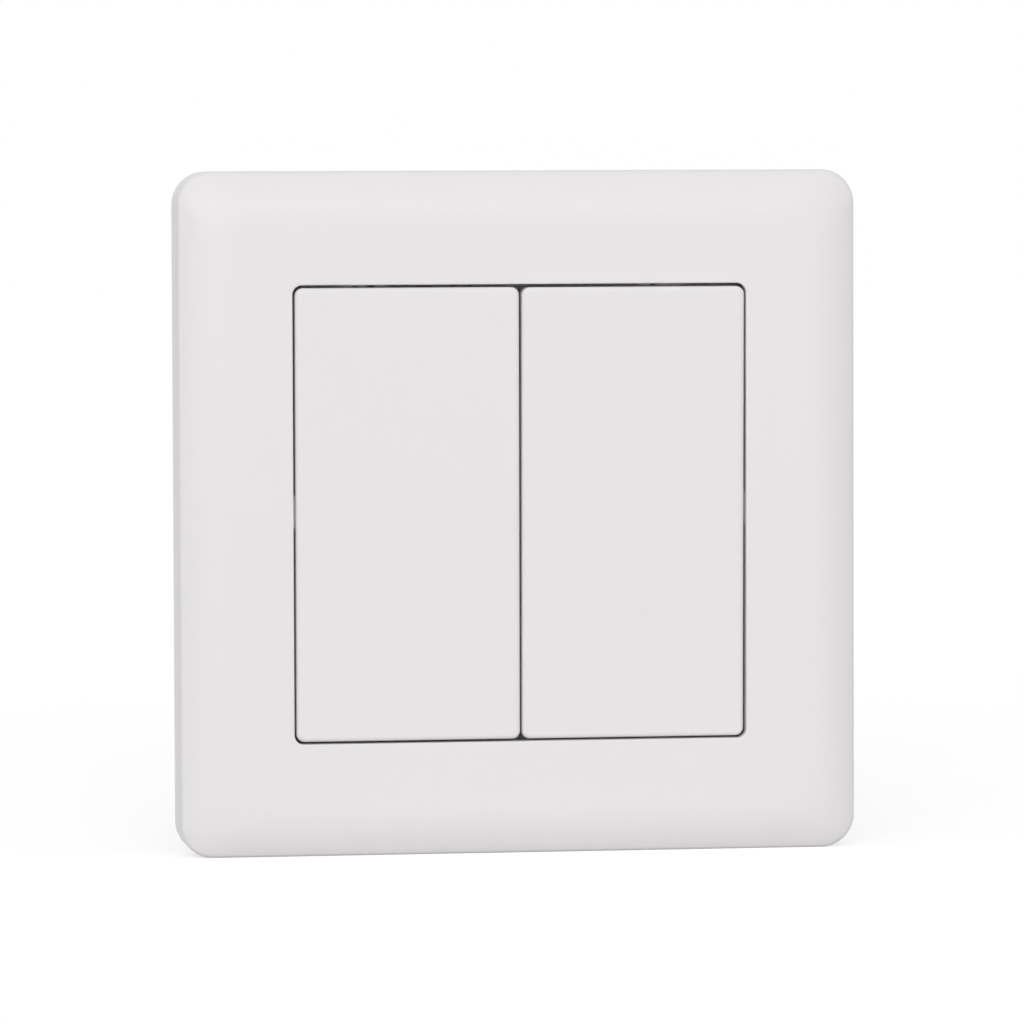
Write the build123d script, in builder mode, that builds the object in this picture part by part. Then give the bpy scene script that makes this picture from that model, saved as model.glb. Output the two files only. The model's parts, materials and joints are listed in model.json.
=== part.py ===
from build123d import *
import math
import os

# Flush two-gang bell push with spring-return keys, on a square wall plate.
# X runs to the right and Z up. Y runs into the wall, so that Plane.XZ.offset(h) lies h mm out of it.
# The origin is the middle of the plate on the wall's surface.
os.makedirs("parts", exist_ok=True)

# Face frame
plate_size = 86.0
plate_corner_r = 4.2
plate_out = 9.0
crown_width = 6.0
crown_drop = 2.0
crown_steps = 3
edge_r = 0.9
frame_wall = 2.0
opening_size = 57.5
opening_corner_r = 1.2
opening_chamfer = 0.2
collar_wall = 1.4
collar_depth = 3.4
rest_rib_wall = 1.2
rest_rib_reach = 3.0
rest_rib_x = 12.0
pry_notch_width = 9.0
pry_notch_depth = 1.0
root_sink = 0.5

# Snap hooks that hold the face frame on the mounting frame
frame_hook_x = 24.0
frame_hook_edge = 3.1
frame_hook_width = 7.0
frame_hook_wall = 1.3
frame_barb = 0.6
frame_barb_height = 0.8
frame_hook_tip_gap = 0.3
hook_play = 0.2

# Mounting frame
mounting_gap = 0.5
mounting_wall = 2.2
mounting_rim_wall = 1.2
mounting_rim_height = 0.7
mounting_rim_gap = 0.5
stiffener_inset = 4.3
stiffener_wall = 1.2
stiffener_height = 1.8
fixing_centres = 60.3
fixing_slot_width = 4.2
fixing_slot_length = 7.0
fixing_seat_margin = 1.3
fixing_seat_depth = 0.8
window_gap = 0.2

# Keys, their tilt about the trunnions at rest and how far past level they press
side_gap = 0.3
end_gap = 0.32
key_corner_r = 1.0
key_edge_r = 0.55
key_wall = 1.6
key_depth = 3.4
skirt_wall = 1.2
key_rib_wall = 0.8
key_rib_height = 1.1
key_rib_x = 10.6
key_rib_z = 24.0
left_rest_tilt = 0.5
right_rest_tilt = 1.3
press_tilt = 2.8
pivot_out = 5.0

# Rockers, which carry the keys
rocker_width = 14.0
rocker_height = 42.0
rocker_wall = 1.4
cheek_wall = 1.6
cheek_height = 7.0
cheek_margin = 0.4
trunnion_r = 1.1
trunnion_gap = 0.05
trunnion_side_play = 0.15
key_hook_x = 3.6
key_hook_z = 11.0
key_hook_width = 3.0
key_hook_wall = 1.0
key_barb = 0.5
key_barb_height = 0.7
nose_r = 1.2
nose_width = 5.0
nose_drop = 0.4
foot_x = 5.0
foot_inset = 1.8
foot_size = 2.4
stop_gap = 0.05

# Body cover, with its bearing ears
ear_wall = 1.6
ear_r = 1.9
ear_base = 7.0
ear_sink = 0.6
cover_wall = 1.2
cover_lip = 0.9
cover_play = 0.1
cover_core = 1.7
guide_wall = 1.5
web_wall = 4.5
centre_margin = 0.2
centre_inset = 1.5

# Plungers
arm = 16.0
nose_gap = 0.06
plunger_r = 2.2
guide_gap = 0.08
shoulder_gap = 0.15
shoulder_r = 3.3
shoulder_wall = 1.2
yoke_width = 5.0
yoke_height = 7.2
yoke_window = 4.2
yoke_length = 5.6
yoke_bar = 1.4
boss_r = 1.5
boss_length = 2.0

# Contact bridges, tips and springs
contact_reach = 5.5
bridge_wall = 0.7
bridge_width = 3.8
bridge_end_width = 5.0
tip_r = 1.4
tip_wall = 0.6
closed_gap = 0.03
contact_wire_r = 0.2
contact_coil_r = 1.5
contact_turns = 3.0
return_wire_r = 0.25
return_coil_r = 2.25
return_turns = 3.5
return_spring_length = 6.6

# Terminals, which take the bell wires from below
strip_wall = 0.8
strip_width = 4.4
strip_root = 1.6
strip_corner_r = 0.8
block_width = 6.4
block_height = 9.2
block_depth = 7.6
wire_r = 1.6
wire_cover = 1.2
screw_r = 1.5
screw_length = 4.8
thread_bite = 0.05
screw_slot_width = 0.5
screw_slot_depth = 0.8
screw_slot_turn = 30.0
screw_slot_reach = 1.6

# Switch body
block_gap = 0.4
body_corner_r = 2.0
body_wall = 1.8
side_wall = 1.6
divider_wall = 1.6
ledge_wall = 2.4
cup_wall = 0.6
cup_gap = 0.2
cup_depth = 1.5
spigot_r = 1.5
entry_gap = 0.3
entry_chamfer = 0.6
driver_gap = 0.5
gauge_length = 11.0
gauge_width = 2.0
gauge_depth = 0.6
gauge_z = 11.6

# Countersunk screws that hold the body to the mounting frame
body_screw_x = 19.0
body_screw_r = 1.35
body_screw_head_r = 2.7
body_screw_length = 8.0
screw_play = 0.1
recess_length = 2.8
recess_width = 0.6
recess_depth = 0.8
lug_r = 3.2
lug_gap = 0.2
lug_depth = 9.0

# Width of the band in which an edge's place is taken as found
pick_band = 0.02

# Places worked out from the sizes above
gap_sum = 3 * side_gap
key_width = (opening_size - gap_sum) / 2
key_height = opening_size - 2 * end_gap
key_x = (key_width + side_gap) / 2
key_front = plate_out - pivot_out
rocker_front = key_front - key_wall
rocker_rear = rocker_front - rocker_wall
mounting_size = plate_size - 2 * frame_wall - 2 * mounting_gap
mounting_corner_r = plate_corner_r - frame_wall
frame_hook_z = mounting_size / 2 - frame_hook_edge
cavity_size = plate_size - 2 * frame_wall
cavity_corner_r = plate_corner_r - frame_wall
frame_under = plate_out - frame_wall
ear_x = rocker_width / 2 + trunnion_side_play + ear_wall / 2
body_size = 2 * (key_x + contact_reach + block_width / 2 + block_gap + side_wall)
cover_size = body_size - 2 * cover_lip
centre_width = 2 * (key_x + ear_x + ear_wall / 2 + centre_margin)
centre_height = body_size - 2 * centre_inset
trunnion_length = ear_wall + 2 * trunnion_side_play
foot_z = rocker_height / 2 - foot_inset
body_screw_z = body_size / 2 + lug_r + lug_gap

# Travel of the plungers, and where each stands at rest and pressed
deepest_press = math.radians(press_tilt)
nose_pressed = pivot_out - nose_drop * math.cos(deepest_press) - arm * math.sin(deepest_press) - nose_r
plunger_pressed = nose_pressed - nose_gap
full_travel = arm * math.radians(press_tilt + max(left_rest_tilt, right_rest_tilt))
shoulder_depth = plunger_pressed + full_travel + cover_wall + shoulder_gap
window_depth = shoulder_depth + shoulder_wall
bar_depth = window_depth + yoke_length
yoke_depth = bar_depth + yoke_bar

# Depths behind the wall's surface, from the pressed contacts to the body's floors
bridge_tip_pressed = bar_depth - plunger_pressed + tip_wall
strip_front = bridge_tip_pressed + closed_gap + tip_wall
strip_rear = strip_front + strip_wall
spring_floor = yoke_depth - plunger_pressed - full_travel + return_spring_length
terminal_floor = strip_front + block_depth
wire_y = strip_front + wire_cover + wire_r
upper_depth = spring_floor + body_wall
lower_depth = terminal_floor + body_wall
inner_size = body_size - 2 * side_wall
block_low = -inner_size / 2
block_mid = block_low + block_height / 2
block_top = block_low + block_height
step_z = block_top + divider_wall
strip_top = arm + strip_width / 2
contact_offsets = (-contact_reach, contact_reach)
gangs = (("left", -key_x, left_rest_tilt), ("right", key_x, right_rest_tilt))
corners_x = (-body_screw_x, body_screw_x)
corners_z = (-body_screw_z, body_screw_z)

# The crown is an arc that leaves the flat front level and falls to the plate's edge
crown_r = (crown_width**2 + crown_drop**2) / (2 * crown_drop)
crown_angle = math.asin(crown_width / crown_r)
crown_curve = []
for step in range(crown_steps + 1):
    turn = crown_angle * (1 - step / crown_steps)
    crown_curve.append((crown_width - crown_r * math.sin(turn), crown_r * (1 - math.cos(turn))))


# Face frame: crowned square plate, hollow behind, with a collar round the opening for the keys
with BuildPart() as face_frame:
    with BuildSketch(Plane.XZ):
        RectangleRounded(plate_size, plate_size, plate_corner_r)
    extrude(amount=plate_out - crown_drop)
    for inset, fall in crown_curve:
        width = plate_size - 2 * inset
        with BuildSketch(Plane.XZ.offset(plate_out - fall)):
            RectangleRounded(width, width, plate_corner_r)
    loft()
    crown_foot = face_frame.edges().filter_by_position(
        Axis.Y, crown_drop - plate_out - pick_band / 2, crown_drop - plate_out + pick_band / 2
    )
    fillet(crown_foot, edge_r)
    with BuildSketch(Plane.XZ):
        RectangleRounded(cavity_size, cavity_size, cavity_corner_r)
    extrude(amount=frame_under - crown_drop, mode=Mode.SUBTRACT)
    for inset, fall in (crown_curve[0], crown_curve[-1]):
        width = cavity_size - 2 * inset
        with BuildSketch(Plane.XZ.offset(frame_under - fall)):
            RectangleRounded(width, width, cavity_corner_r)
    loft(mode=Mode.SUBTRACT)
    with BuildSketch(Plane.XZ.offset(plate_out - collar_depth)):
        RectangleRounded(
            opening_size + 2 * collar_wall, opening_size + 2 * collar_wall, opening_corner_r + collar_wall
        )
    extrude(amount=collar_depth - frame_wall / 2)
    # Ribs that rest on the mounting frame, two on each side
    with BuildSketch(Plane.XZ.offset(mounting_wall)):
        with PolarLocations(cavity_size / 2 - rest_rib_reach / 2 + root_sink, 4):
            with GridLocations(0, 2 * rest_rib_x, 1, 2):
                Rectangle(rest_rib_reach + 2 * root_sink, rest_rib_wall)
    extrude(amount=frame_under - crown_drop + root_sink - mounting_wall)
    # Snap hooks, with barbs that face the edge of the plate
    for hook_x in (-frame_hook_x, frame_hook_x):
        with BuildSketch(Plane.YZ.offset(hook_x)):
            with BuildLine():
                Polyline(
                    (-frame_under - root_sink, frame_hook_z),
                    (-frame_hook_tip_gap, frame_hook_z),
                    (-frame_hook_tip_gap, frame_hook_z + frame_hook_wall),
                    (-frame_hook_tip_gap - frame_barb_height / 2, frame_hook_z + frame_hook_wall + frame_barb),
                    (-frame_hook_tip_gap - frame_barb_height, frame_hook_z + frame_hook_wall + frame_barb),
                    (-frame_hook_tip_gap - frame_barb_height, frame_hook_z + frame_hook_wall),
                    (-frame_under - root_sink, frame_hook_z + frame_hook_wall),
                    close=True,
                )
            make_face()
            mirror(about=Plane.XZ)
        extrude(amount=frame_hook_width / 2, both=True)
    with BuildSketch(Plane.XZ):
        RectangleRounded(opening_size, opening_size, opening_corner_r)
    extrude(amount=plate_out, mode=Mode.SUBTRACT)
    opening_rim = face_frame.faces().sort_by(Axis.Y)[0].inner_wires()[0].edges()
    chamfer(opening_rim, opening_chamfer)
    # Notch in the lower rim for the blade that levers the frame off
    with BuildSketch(Plane.XZ):
        with Locations((0, -plate_size / 2)):
            Rectangle(pry_notch_width, 3 * frame_wall)
    extrude(amount=pry_notch_depth, mode=Mode.SUBTRACT)
face_frame.part.label = "face_frame"
export_step(face_frame.part, "parts/face_frame.step")


# Mounting frame: flat square carrier on the wall, with the two fixing slots
with BuildPart() as mounting_frame:
    with BuildSketch(Plane.XZ):
        RectangleRounded(mounting_size, mounting_size, mounting_corner_r)
        Rectangle(centre_width + 2 * window_gap, centre_height + 2 * window_gap, mode=Mode.SUBTRACT)
        with GridLocations(fixing_centres, 0, 2, 1):
            SlotOverall(fixing_slot_length, fixing_slot_width, mode=Mode.SUBTRACT)
        with GridLocations(2 * frame_hook_x, 2 * frame_hook_z + frame_hook_wall, 2, 2):
            Rectangle(frame_hook_width + 2 * hook_play, frame_hook_wall + 2 * hook_play, mode=Mode.SUBTRACT)
    extrude(amount=mounting_wall)
    # Stiffening ring behind the crown
    with BuildSketch(Plane.XZ.offset(mounting_wall)):
        stiffener_size = mounting_size - 2 * stiffener_inset
        RectangleRounded(stiffener_size, stiffener_size, mounting_corner_r)
        offset(amount=-stiffener_wall, mode=Mode.SUBTRACT)
    extrude(amount=stiffener_height)
    # Sunken seats for the wall screws' heads
    with BuildSketch(Plane.XZ.offset(mounting_wall)):
        with GridLocations(fixing_centres, 0, 2, 1):
            SlotOverall(fixing_slot_length + 2 * fixing_seat_margin, fixing_slot_width + 2 * fixing_seat_margin)
    extrude(amount=-fixing_seat_depth, mode=Mode.SUBTRACT)
    # Stiffening rims at the window's upper and lower edges, inside the keys' skirts
    with BuildSketch(Plane.XZ.offset(mounting_wall)):
        with GridLocations(0, centre_height + 2 * window_gap + mounting_rim_wall, 1, 2):
            Rectangle(2 * (body_screw_x - body_screw_head_r - mounting_rim_gap), mounting_rim_wall)
    extrude(amount=mounting_rim_height)
    # Pockets behind the hook slots, which take the barbs
    with BuildSketch(Plane.XZ):
        with GridLocations(2 * frame_hook_x, 2 * frame_hook_z + 2 * frame_hook_wall + frame_barb + hook_play, 2, 2):
            Rectangle(frame_hook_width + 2 * hook_play, frame_barb + hook_play)
    extrude(amount=frame_hook_tip_gap + frame_barb_height, mode=Mode.SUBTRACT)
    with Locations(Plane.XZ.offset(mounting_wall)):
        with GridLocations(2 * body_screw_x, 2 * body_screw_z, 2, 2):
            CounterSinkHole(body_screw_r + screw_play, body_screw_head_r, counter_sink_angle=90)
mounting_frame.part.label = "mounting_frame"
export_step(mounting_frame.part, "parts/mounting_frame.step")


# Switch body: moulded box behind the wall's surface, deeper below for the terminals
with BuildPart() as switch_body:
    with BuildSketch(Plane.XZ):
        RectangleRounded(body_size, body_size, body_corner_r)
    extrude(amount=-upper_depth)
    lower_height = body_size / 2 + step_z
    with BuildSketch(Plane.XZ):
        with Locations((0, -body_size / 2 + lower_height / 2)):
            RectangleRounded(body_size, lower_height, body_corner_r)
    extrude(amount=-lower_depth)
    with BuildSketch(Plane.XZ):
        with GridLocations(2 * body_screw_x, 2 * body_screw_z, 2, 2):
            Circle(lug_r)
        with GridLocations(2 * body_screw_x, body_size, 2, 2):
            Rectangle(2 * lug_r, 2 * (body_screw_z - body_size / 2))
    extrude(amount=-lug_depth)
    # Hollow, with a shoulder that the cover's plate rests on
    with BuildSketch(Plane.XZ):
        RectangleRounded(
            cover_size + 2 * cover_play, cover_size + 2 * cover_play, body_corner_r - cover_lip + cover_play
        )
    extrude(amount=-cover_wall, mode=Mode.SUBTRACT)
    with BuildSketch(Plane.XZ):
        Rectangle(inner_size, inner_size)
    extrude(amount=-spring_floor, mode=Mode.SUBTRACT)
    pocket_height = block_height + divider_wall / 2
    with BuildSketch(Plane.XZ):
        with Locations((0, -inner_size / 2 + pocket_height / 2)):
            Rectangle(inner_size, pocket_height)
    extrude(amount=-terminal_floor, mode=Mode.SUBTRACT)
    # Wall between the gangs, and one between the two terminals of each
    with BuildSketch(Plane.XZ.offset(-cover_wall)):
        Rectangle(divider_wall, inner_size + side_wall)
    extrude(amount=cover_wall - spring_floor - body_wall / 2)
    with BuildSketch(Plane.XZ.offset(-strip_front)):
        with Locations((0, -inner_size / 2 + pocket_height / 2)):
            Rectangle(divider_wall, pocket_height + side_wall)
    extrude(amount=strip_front - terminal_floor)
    with BuildSketch(Plane.XZ.offset(-strip_front)):
        with GridLocations(2 * key_x, 0, 2, 1):
            with Locations((0, -inner_size / 2 + pocket_height / 2)):
                Rectangle(divider_wall, pocket_height + side_wall)
    extrude(amount=strip_front - terminal_floor)
    # Ledges under the contact strips
    ledge_height = strip_top - block_top
    with BuildSketch(Plane.XZ.offset(-strip_rear)):
        with GridLocations(2 * key_x, 0, 2, 1):
            with GridLocations(2 * contact_reach, 0, 2, 1):
                with Locations((0, block_top + ledge_height / 2 + divider_wall / 2)):
                    Rectangle(ledge_wall, ledge_height - divider_wall)
    extrude(amount=strip_rear - spring_floor - body_wall / 2)
    # Cups and spigots that seat the return springs
    with BuildSketch(Plane.XZ.offset(-spring_floor)):
        with Locations((-key_x, arm), (key_x, arm)):
            Circle(return_coil_r + return_wire_r + cup_gap + cup_wall)
            Circle(return_coil_r + return_wire_r + cup_gap, mode=Mode.SUBTRACT)
            Circle(spigot_r)
    extrude(amount=cup_depth)
    # Wire entries in the lower wall and driver holes in the rear wall, one pair for each terminal
    for gang_x in (-key_x, key_x):
        for offset_x in contact_offsets:
            with BuildSketch(Plane.XY.offset(-body_size / 2)):
                with Locations((gang_x + offset_x, wire_y)):
                    Circle(wire_r + entry_gap)
            extrude(amount=side_wall, mode=Mode.SUBTRACT)
            with BuildSketch(Plane.XZ.offset(-lower_depth)):
                with Locations((gang_x + offset_x, block_mid)):
                    Circle(screw_r + driver_gap)
            extrude(amount=body_wall, mode=Mode.SUBTRACT)
    entries = switch_body.edges().filter_by(GeomType.CIRCLE).filter_by_position(
        Axis.Z, (-body_size - pick_band) / 2, (-body_size + pick_band) / 2
    )
    chamfer(entries, entry_chamfer)
    # Stripping gauge sunk in the rear
    with BuildSketch(Plane.XZ.offset(-upper_depth)):
        with Locations((0, gauge_z)):
            SlotOverall(gauge_length, gauge_width)
    extrude(amount=gauge_depth, mode=Mode.SUBTRACT)
    with BuildSketch(Plane.XZ):
        with GridLocations(2 * body_screw_x, 2 * body_screw_z, 2, 2):
            Circle(body_screw_r - thread_bite)
    extrude(amount=-lug_depth, mode=Mode.SUBTRACT)
switch_body.part.label = "switch_body"
export_step(switch_body.part, "parts/switch_body.step")


# Body cover: closes the body, guides the plungers and carries the bearing ears
with BuildPart() as body_cover:
    with BuildSketch(Plane.XZ):
        RectangleRounded(cover_size, cover_size, body_corner_r - cover_lip)
    extrude(amount=-cover_wall)
    with BuildSketch(Plane.XZ):
        Rectangle(centre_width, centre_height)
    extrude(amount=mounting_wall)
    # Cored out from behind, but for the rim, the middle web and the plunger guides
    with BuildSketch(Plane.XZ.offset(-cover_wall)):
        Rectangle(centre_width - 2 * guide_wall, centre_height - 2 * guide_wall)
        Rectangle(web_wall, centre_height, mode=Mode.SUBTRACT)
        with Locations((-key_x, arm), (key_x, arm)):
            Circle(plunger_r + guide_gap + guide_wall, mode=Mode.SUBTRACT)
    extrude(amount=cover_core, mode=Mode.SUBTRACT)
    for gang_x in (-key_x, key_x):
        for offset_x in (-ear_x, ear_x):
            with BuildSketch(Plane.YZ.offset(gang_x + offset_x)):
                with Locations((-pivot_out, 0)):
                    Circle(ear_r)
                with Locations((ear_sink / 2 - mounting_wall, 0)):
                    Rectangle(ear_sink, ear_base)
                make_hull()
                with Locations((-pivot_out, 0)):
                    Circle(trunnion_r + trunnion_gap, mode=Mode.SUBTRACT)
            extrude(amount=ear_wall / 2, both=True)
    with BuildSketch(Plane.XZ.offset(-cover_wall)):
        with Locations((-key_x, arm), (key_x, arm)):
            Circle(plunger_r + guide_gap)
    extrude(amount=cover_wall + mounting_wall, mode=Mode.SUBTRACT)
body_cover.part.label = "body_cover"
export_step(body_cover.part, "parts/body_cover.step")


# One gang on each side: key, rocker, plunger, contact bridge and the two springs
for side, gang_x, rest_tilt in gangs:
    tilt = math.radians(rest_tilt)
    key_plane = Plane(
        origin=(gang_x, -pivot_out, 0), x_dir=(1, 0, 0), z_dir=(0, -math.cos(tilt), -math.sin(tilt))
    )
    side_plane = Plane(origin=(gang_x, -pivot_out, 0), x_dir=key_plane.y_dir, z_dir=(-1, 0, 0))
    out_of_key = Axis(key_plane.origin, key_plane.z_dir)

    # Key: flat face with a skirt, stiffened by ribs and held on the rocker by four hooks
    with BuildPart() as key:
        with BuildSketch(key_plane.offset(key_front)):
            RectangleRounded(key_width, key_height, key_corner_r)
        extrude(amount=-key_depth)
        with BuildSketch(key_plane.offset(rocker_front)):
            Rectangle(key_width - 2 * skirt_wall, key_height - 2 * skirt_wall)
        extrude(amount=key_wall - key_depth, mode=Mode.SUBTRACT)
        with BuildSketch(key_plane.offset(rocker_front)):
            with GridLocations(0, 2 * key_rib_z, 1, 2):
                Rectangle(key_width - skirt_wall, key_rib_wall)
            with GridLocations(2 * key_rib_x, 0, 2, 1):
                Rectangle(key_rib_wall, key_height - skirt_wall)
        extrude(amount=-key_rib_height)
        for hook_x in (-key_hook_x, key_hook_x):
            with BuildSketch(side_plane.offset(hook_x)):
                with BuildLine():
                    Polyline(
                        (key_hook_z, -rocker_front - key_wall / 2),
                        (key_hook_z, key_barb_height - rocker_rear),
                        (key_hook_z + key_hook_wall, key_barb_height - rocker_rear),
                        (key_hook_z + key_hook_wall + key_barb, key_barb_height / 3 - rocker_rear),
                        (key_hook_z + key_hook_wall + key_barb, -rocker_rear),
                        (key_hook_z + key_hook_wall, -rocker_rear),
                        (key_hook_z + key_hook_wall, -rocker_front - key_wall / 2),
                        close=True,
                    )
                make_face()
                mirror(about=Plane.YZ)
            extrude(amount=key_hook_width / 2, both=True)
        fillet(key.faces().sort_by(out_of_key)[-1].edges(), key_edge_r)
    key.part.label = f"{side}_key"
    export_step(key.part, f"parts/{side}_key.step")

    # Rocker: plate behind the key, with trunnions, a nose over the plunger and feet as stops
    foot_end = foot_z + foot_size / 2
    press_foot = pivot_out - mounting_wall - stop_gap - foot_end * math.sin(deepest_press)
    rest_foot = pivot_out - mounting_wall - stop_gap - foot_end * math.sin(tilt)
    with BuildPart() as rocker:
        with BuildSketch(key_plane.offset(rocker_front)):
            RectangleRounded(rocker_width, rocker_height, key_corner_r)
            with GridLocations(2 * key_hook_x, 2 * key_hook_z + key_hook_wall + key_barb, 2, 2):
                Rectangle(key_hook_width + 2 * hook_play, key_hook_wall + key_barb + hook_play, mode=Mode.SUBTRACT)
        extrude(amount=-rocker_wall)
        with BuildSketch(key_plane.offset(rocker_rear)):
            with GridLocations(rocker_width - cheek_wall, 0, 2, 1):
                Rectangle(cheek_wall, cheek_height)
            Rectangle(rocker_width - cheek_wall, key_rib_wall)
        extrude(amount=-rocker_rear - trunnion_r - cheek_margin)
        with Locations(*[(gang_x + near * ear_x, -pivot_out, 0) for near in (-1, 1)]):
            Cylinder(trunnion_r, trunnion_length, rotation=(0, 90, 0))
        with BuildSketch(side_plane):
            with Locations((arm, nose_drop)):
                Circle(nose_r)
            with Locations((arm, (nose_drop - rocker_rear) / 2)):
                Rectangle(2 * nose_r, nose_drop + rocker_rear)
        extrude(amount=nose_width / 2, both=True)
        with BuildSketch(key_plane.offset(rocker_rear)):
            with Locations((-foot_x, foot_z), (foot_x, foot_z)):
                Rectangle(foot_size, foot_size)
        extrude(amount=-rocker_rear - press_foot)
        with BuildSketch(key_plane.offset(rocker_rear)):
            with Locations((-foot_x, -foot_z), (foot_x, -foot_z)):
                Rectangle(foot_size, foot_size)
        extrude(amount=-rocker_rear - rest_foot)
    rocker.part.label = f"{side}_rocker"
    export_step(rocker.part, f"parts/{side}_rocker.step")

    # Plunger: stem in the cover's guide, then a yoke with a window for the bridge and its spring
    plunger_top = plunger_pressed + arm * math.radians(rest_tilt + press_tilt)
    with BuildPart() as plunger:
        with BuildSketch(Plane.XZ.offset(plunger_top)):
            with Locations((gang_x, arm)):
                Circle(plunger_r)
        extrude(amount=-shoulder_depth)
        with BuildSketch(Plane.XZ.offset(plunger_top - shoulder_depth)):
            with Locations((gang_x, arm)):
                Circle(shoulder_r)
        extrude(amount=-shoulder_wall)
        with BuildSketch(Plane.XZ.offset(plunger_top - window_depth)):
            with Locations((gang_x, arm)):
                Rectangle(yoke_width, yoke_height)
                Rectangle(yoke_width, yoke_window, mode=Mode.SUBTRACT)
        extrude(amount=-yoke_length)
        with BuildSketch(Plane.XZ.offset(plunger_top - bar_depth)):
            with Locations((gang_x, arm)):
                Rectangle(yoke_width, yoke_height)
        extrude(amount=-yoke_bar)
        with BuildSketch(Plane.XZ.offset(plunger_top - yoke_depth)):
            with Locations((gang_x, arm)):
                Circle(boss_r)
        extrude(amount=-boss_length)
    plunger.part.label = f"{side}_plunger"
    export_step(plunger.part, f"parts/{side}_plunger.step")

    # Contact bridge: brass strip, waisted where it lies in the yoke
    bridge_rear = plunger_top - bar_depth
    with BuildPart() as bridge:
        with BuildSketch(Plane.XZ.offset(bridge_rear)):
            with Locations((gang_x, arm)):
                Rectangle(2 * contact_reach, bridge_width)
            with Locations((gang_x - contact_reach, arm), (gang_x + contact_reach, arm)):
                Circle(bridge_end_width / 2)
        extrude(amount=bridge_wall)
    bridge.part.label = f"{side}_bridge"
    export_step(bridge.part, f"parts/{side}_bridge.step")

    # Silver tips under the ends of the bridge
    with BuildPart() as bridge_tips:
        with BuildSketch(Plane.XZ.offset(bridge_rear)):
            with Locations((gang_x - contact_reach, arm), (gang_x + contact_reach, arm)):
                Circle(tip_r)
        extrude(amount=-tip_wall)
    bridge_tips.part.label = f"{side}_bridge_tips"
    export_step(bridge_tips.part, f"parts/{side}_bridge_tips.step")

    # Contact spring, between the plunger's shoulder and the bridge
    contact_height = yoke_length - bridge_wall - 2 * contact_wire_r
    with BuildPart() as contact_spring:
        with BuildLine() as contact_coil:
            Helix(
                contact_height / contact_turns,
                contact_height,
                contact_coil_r,
                center=(gang_x, window_depth - plunger_top + contact_wire_r, arm),
                direction=(0, 1, 0),
            )
        with BuildSketch(contact_coil.line ^ 0):
            RegularPolygon(contact_wire_r, 4)
        sweep(is_frenet=True)
    contact_spring.part.label = f"{side}_contact_spring"
    export_step(contact_spring.part, f"parts/{side}_contact_spring.step")

    # Return spring, between the yoke and the body's floor
    return_height = spring_floor - (yoke_depth - plunger_top) - 2 * return_wire_r
    with BuildPart() as return_spring:
        with BuildLine() as return_coil:
            Helix(
                return_height / return_turns,
                return_height,
                return_coil_r,
                center=(gang_x, yoke_depth - plunger_top + return_wire_r, arm),
                direction=(0, 1, 0),
            )
        with BuildSketch(return_coil.line ^ 0):
            RegularPolygon(return_wire_r, 4)
        sweep(is_frenet=True)
    return_spring.part.label = f"{side}_return_spring"
    export_step(return_spring.part, f"parts/{side}_return_spring.step")


# Terminals: each a clamp block for the wire with a strip that runs up under the bridge
for side, gang_x, rest_tilt in gangs:
    for use, offset_x in (("feed", -contact_reach), ("bell", contact_reach)):
        with BuildPart() as terminal:
            strip_length = strip_top - block_top
            with BuildSketch(Plane.XZ.offset(-strip_front)):
                with Locations((gang_x + offset_x, block_top + (strip_length - strip_root) / 2)):
                    RectangleRounded(strip_width, strip_length + strip_root, strip_corner_r)
            extrude(amount=-strip_wall)
            with BuildSketch(Plane.XZ.offset(-strip_front)):
                with Locations((gang_x + offset_x, block_mid)):
                    Rectangle(block_width, block_height)
            extrude(amount=-block_depth)
            with BuildSketch(Plane.XY.offset(block_low)):
                with Locations((gang_x + offset_x, wire_y)):
                    Circle(wire_r)
            extrude(amount=block_height, mode=Mode.SUBTRACT)
            with BuildSketch(Plane.XZ.offset(-terminal_floor)):
                with Locations((gang_x + offset_x, block_mid)):
                    Circle(screw_r - thread_bite)
            extrude(amount=terminal_floor - wire_y, mode=Mode.SUBTRACT)
        terminal.part.label = f"{side}_{use}_terminal"
        export_step(terminal.part, f"parts/{side}_{use}_terminal.step")


# Silver tips on the strips, one under each end of each bridge
with BuildPart() as fixed_tips:
    with BuildSketch(Plane.XZ.offset(-strip_front)):
        with GridLocations(2 * key_x, 0, 2, 1):
            with Locations((-contact_reach, arm), (contact_reach, arm)):
                Circle(tip_r)
    extrude(amount=tip_wall)
fixed_tips.part.label = "fixed_tips"
export_step(fixed_tips.part, "parts/fixed_tips.step")


# Clamp screws, backed out until their tips just clear the wire holes
screw_tip = wire_y + wire_r + closed_gap
with BuildPart() as terminal_screws:
    with BuildSketch(Plane.XZ.offset(-screw_tip)):
        with GridLocations(2 * key_x, 0, 2, 1):
            with Locations((-contact_reach, block_mid), (contact_reach, block_mid)):
                Circle(screw_r)
    extrude(amount=-screw_length)
    with BuildSketch(Plane.XZ.offset(-screw_tip - screw_length)):
        with GridLocations(2 * key_x, 0, 2, 1):
            with Locations((-contact_reach, block_mid), (contact_reach, block_mid)):
                Rectangle(2 * screw_slot_reach, screw_slot_width, rotation=screw_slot_turn)
    extrude(amount=screw_slot_depth, mode=Mode.SUBTRACT)
terminal_screws.part.label = "terminal_screws"
export_step(terminal_screws.part, "parts/terminal_screws.step")


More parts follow.
